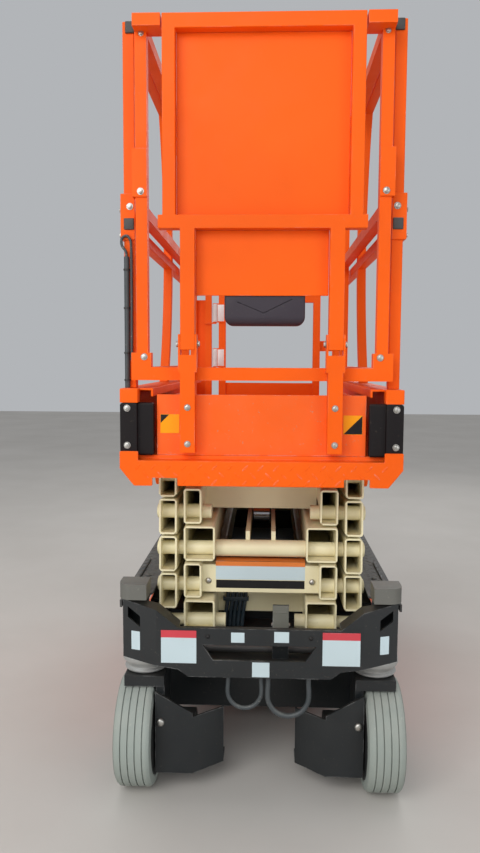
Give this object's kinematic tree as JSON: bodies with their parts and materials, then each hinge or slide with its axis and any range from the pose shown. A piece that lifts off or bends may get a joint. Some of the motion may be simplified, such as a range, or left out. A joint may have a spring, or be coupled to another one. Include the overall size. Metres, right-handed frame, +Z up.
{
  "type": "scissor lift",
  "caption": "Battery driven work platform that rises on crossed pairs of box section arms, with a sliding front deck, folding front frame, entry gate and steered front wheels.",
  "frame": {"origin": "on the floor, under the middle of the machine", "axes": "+X to the right seen from the front, +Y towards the ladder, +Z up"},
  "size_m": [0.81, 1.83, 2.112],
  "materials": {
    "orange_paint": "gloss",
    "orange_deck": "satin",
    "cream_paint": "gloss",
    "dark_paint": "satin",
    "cable_skin": "satin",
    "dark_plastic": "matte",
    "shoe_plastic": "matte",
    "ring_metal": "cast",
    "polished_rod": "polished",
    "battery": "matte",
    "grey_tyre": "matte",
    "rim_paint": "satin"
  },
  "bodies": {
    "chassis": {"front_frame": "dark_paint", "spine": "dark_paint", "slide_tracks": "dark_paint", "rear_axle": "dark_paint", "rear_frame": "dark_paint", "swivel_rings": "ring_metal", "side_covers": "dark_plastic", "corner_caps": "dark_plastic", "ladder": "dark_paint", "cable_loop_left": "cable_skin", "cable_loop_right": "cable_skin"},
    "knuckle_left": {"knuckle_left": "dark_paint"},
    "wheel_front_left": {"tyre_front_left": "grey_tyre", "rim_front_left": "rim_paint"},
    "wheel_rear_left": {"tyre_rear_left": "grey_tyre", "rim_rear_left": "rim_paint"},
    "knuckle_right": {"knuckle_right": "dark_paint"},
    "wheel_front_right": {"tyre_front_right": "grey_tyre", "rim_front_right": "rim_paint"},
    "wheel_rear_right": {"tyre_rear_right": "grey_tyre", "rim_rear_right": "rim_paint"},
    "tie_rod": {"tie_rod": "dark_paint"},
    "inner_arm_1": {"inner_arm_1": "cream_paint", "hose_bundle": "cable_skin"},
    "outer_arm_1": {"outer_arm_1": "cream_paint"},
    "inner_arm_2": {"inner_arm_2": "cream_paint"},
    "outer_arm_2": {"outer_arm_2": "cream_paint"},
    "inner_arm_3": {"inner_arm_3": "cream_paint"},
    "outer_arm_3": {"outer_arm_3": "cream_paint"},
    "inner_arm_4": {"inner_arm_4": "cream_paint"},
    "outer_arm_4": {"outer_arm_4": "cream_paint"},
    "lower_shoes": {"lower_shoes": "shoe_plastic"},
    "upper_shoes": {"upper_shoes": "shoe_plastic"},
    "cylinder_barrel": {"cylinder_barrel": "dark_paint"},
    "cylinder_rod": {"cylinder_rod": "polished_rod"},
    "gate": {"gate": "orange_paint"},
    "floor_guard_left": {"floor_guard_left": "dark_paint"},
    "floor_guard_right": {"floor_guard_right": "dark_paint"},
    "platform": {"platform_deck": "orange_paint", "side_panel_left": "orange_paint", "side_panel_right": "orange_paint", "corner_covers": "dark_plastic", "side_rail_left": "orange_paint", "side_rail_right": "orange_paint", "rear_rails": "orange_paint", "tied_hank": "cable_skin"},
    "extension": {"extension_deck": "orange_deck", "extension_rails": "orange_paint"},
    "centre_frame": {"centre_frame": "orange_paint", "frame_panels": "orange_paint", "document_case": "dark_plastic"},
    "tray_left": {"tray_left": "orange_paint", "tray_load_left": "battery"},
    "tray_right": {"tray_right": "orange_paint", "tray_load_right": "battery"}
  },
  "joints": [
    {"name": "spin_rear_left", "type": "hinge", "parent": "chassis", "child": "wheel_rear_left", "pos_m": [-0.353, 0.6565, 0.1615], "axis": [1, 0, 0], "continuous": true},
    {"name": "spin_front_left", "type": "hinge", "parent": "knuckle_left", "child": "wheel_front_left", "pos_m": [-0.353, -0.7135, 0.1615], "axis": [1, 0, 0], "continuous": true},
    {"name": "spin_rear_right", "type": "hinge", "parent": "chassis", "child": "wheel_rear_right", "pos_m": [0.353, 0.6565, 0.1615], "axis": [1, 0, 0], "continuous": true},
    {"name": "spin_front_right", "type": "hinge", "parent": "knuckle_right", "child": "wheel_front_right", "pos_m": [0.353, -0.7135, 0.1615], "axis": [1, 0, 0], "continuous": true},
    {"name": "steer_left", "type": "hinge", "parent": "chassis", "child": "knuckle_left", "pos_m": [-0.334, -0.7135, 0.432], "axis": [0, 0, 1], "range_deg": [-50, 50]},
    {"name": "steer_right", "type": "hinge", "parent": "chassis", "child": "knuckle_right", "pos_m": [0.334, -0.7135, 0.432], "axis": [0, 0, 1], "range_deg": [-50, 50]},
    {"name": "tie_rod_turn", "type": "hinge", "parent": "knuckle_left", "child": "tie_rod", "pos_m": [-0.334, -0.7735, 0.432], "axis": [0, 0, 1], "range_deg": [-50, 50]},
    {"name": "lift", "type": "hinge", "parent": "chassis", "child": "inner_arm_1", "pos_m": [0, -0.715, 0.492], "axis": [1, 0, 0], "range_deg": [0, 57.65]},
    {"name": "cross_1", "type": "hinge", "parent": "inner_arm_1", "child": "outer_arm_1", "pos_m": [0, 0.02306, 0.5455], "axis": [1, 0, 0], "range_deg": [-115.31, 0]},
    {"name": "stack_2", "type": "hinge", "parent": "outer_arm_1", "child": "inner_arm_2", "pos_m": [0, -0.715, 0.599], "axis": [1, 0, 0], "range_deg": [0, 115.31]},
    {"name": "cross_2", "type": "hinge", "parent": "inner_arm_2", "child": "outer_arm_2", "pos_m": [0, 0.02306, 0.6525], "axis": [1, 0, 0], "range_deg": [-115.31, 0]},
    {"name": "stack_3", "type": "hinge", "parent": "outer_arm_2", "child": "inner_arm_3", "pos_m": [0, -0.715, 0.706], "axis": [1, 0, 0], "range_deg": [0, 115.31]},
    {"name": "cross_3", "type": "hinge", "parent": "inner_arm_3", "child": "outer_arm_3", "pos_m": [0, 0.02306, 0.7595], "axis": [1, 0, 0], "range_deg": [-115.31, 0]},
    {"name": "stack_4", "type": "hinge", "parent": "outer_arm_3", "child": "inner_arm_4", "pos_m": [0, -0.715, 0.813], "axis": [1, 0, 0], "range_deg": [0, 115.31]},
    {"name": "cross_4", "type": "hinge", "parent": "inner_arm_4", "child": "outer_arm_4", "pos_m": [0, 0.02306, 0.8665], "axis": [1, 0, 0], "range_deg": [-115.31, 0]},
    {"name": "platform_level", "type": "hinge", "parent": "outer_arm_4", "child": "platform", "pos_m": [0, -0.715, 0.92], "axis": [1, 0, 0], "range_deg": [0, 57.66]},
    {"name": "lower_shoe_level", "type": "hinge", "parent": "outer_arm_1", "child": "lower_shoes", "pos_m": [0, 0.76113, 0.492], "axis": [1, 0, 0], "range_deg": [0, 57.66]},
    {"name": "upper_shoe_level", "type": "hinge", "parent": "inner_arm_4", "child": "upper_shoes", "pos_m": [0, 0.76113, 0.92], "axis": [1, 0, 0], "range_deg": [-57.66, 0]},
    {"name": "barrel_swing", "type": "hinge", "parent": "inner_arm_1", "child": "cylinder_barrel", "pos_m": [0, 0.62162, 0.5686], "axis": [1, 0, 0], "range_deg": [-121.42, 0]},
    {"name": "rod_slide", "type": "slide", "parent": "cylinder_barrel", "child": "cylinder_rod", "axis": [0, -0.9856, 0.1691], "range_m": [0, 0.7689]},
    {"name": "extension_slide", "type": "slide", "parent": "platform", "child": "extension", "axis": [0, -1, 0], "range_m": [0, 0.91]},
    {"name": "centre_frame_fold", "type": "hinge", "parent": "extension", "child": "centre_frame", "pos_m": [0, -0.8955, 1.287], "axis": [-1, 0, 0], "range_deg": [0, 90]},
    {"name": "gate_swing", "type": "hinge", "parent": "platform", "child": "gate", "pos_m": [-0.243, 0.79, 1.5], "axis": [0, 0, -1], "range_deg": [0, 90], "stiffness_Nm_per_rad": 4},
    {"name": "tray_left_swing", "type": "hinge", "parent": "chassis", "child": "tray_left", "pos_m": [-0.378, -0.492, 0.3], "axis": [0, 0, 1], "range_deg": [0, 80]},
    {"name": "tray_right_swing", "type": "hinge", "parent": "chassis", "child": "tray_right", "pos_m": [0.378, -0.492, 0.3], "axis": [0, 0, -1], "range_deg": [0, 80]},
    {"name": "floor_guard_left_drop", "type": "hinge", "parent": "chassis", "child": "floor_guard_left", "pos_m": [-0.338, 0, 0.112], "axis": [0, 1, 0], "range_deg": [0, 90]},
    {"name": "floor_guard_right_drop", "type": "hinge", "parent": "chassis", "child": "floor_guard_right", "pos_m": [0.338, 0, 0.112], "axis": [0, -1, 0], "range_deg": [0, 90]}
  ],
  "couplings": [
    {"joint": "steer_right", "follows": "steer_left", "ratio": 1},
    {"joint": "tie_rod_turn", "follows": "steer_left", "ratio": -1},
    {"joint": "cross_1", "follows": "lift", "ratio": -2},
    {"joint": "stack_2", "follows": "lift", "ratio": 2},
    {"joint": "cross_2", "follows": "lift", "ratio": -2},
    {"joint": "stack_3", "follows": "lift", "ratio": 2},
    {"joint": "cross_3", "follows": "lift", "ratio": -2},
    {"joint": "stack_4", "follows": "lift", "ratio": 2},
    {"joint": "cross_4", "follows": "lift", "ratio": -2},
    {"joint": "platform_level", "follows": "lift", "ratio": 1},
    {"joint": "lower_shoe_level", "follows": "lift", "ratio": 1},
    {"joint": "upper_shoe_level", "follows": "lift", "ratio": -1},
    {"joint": "barrel_swing", "follows": "lift", "ratio": -2.1061},
    {"joint": "rod_slide", "follows": "lift", "m_per_rad": 0.76367},
    {"joint": "floor_guard_right_drop", "follows": "floor_guard_left_drop", "ratio": 1}
  ]
}
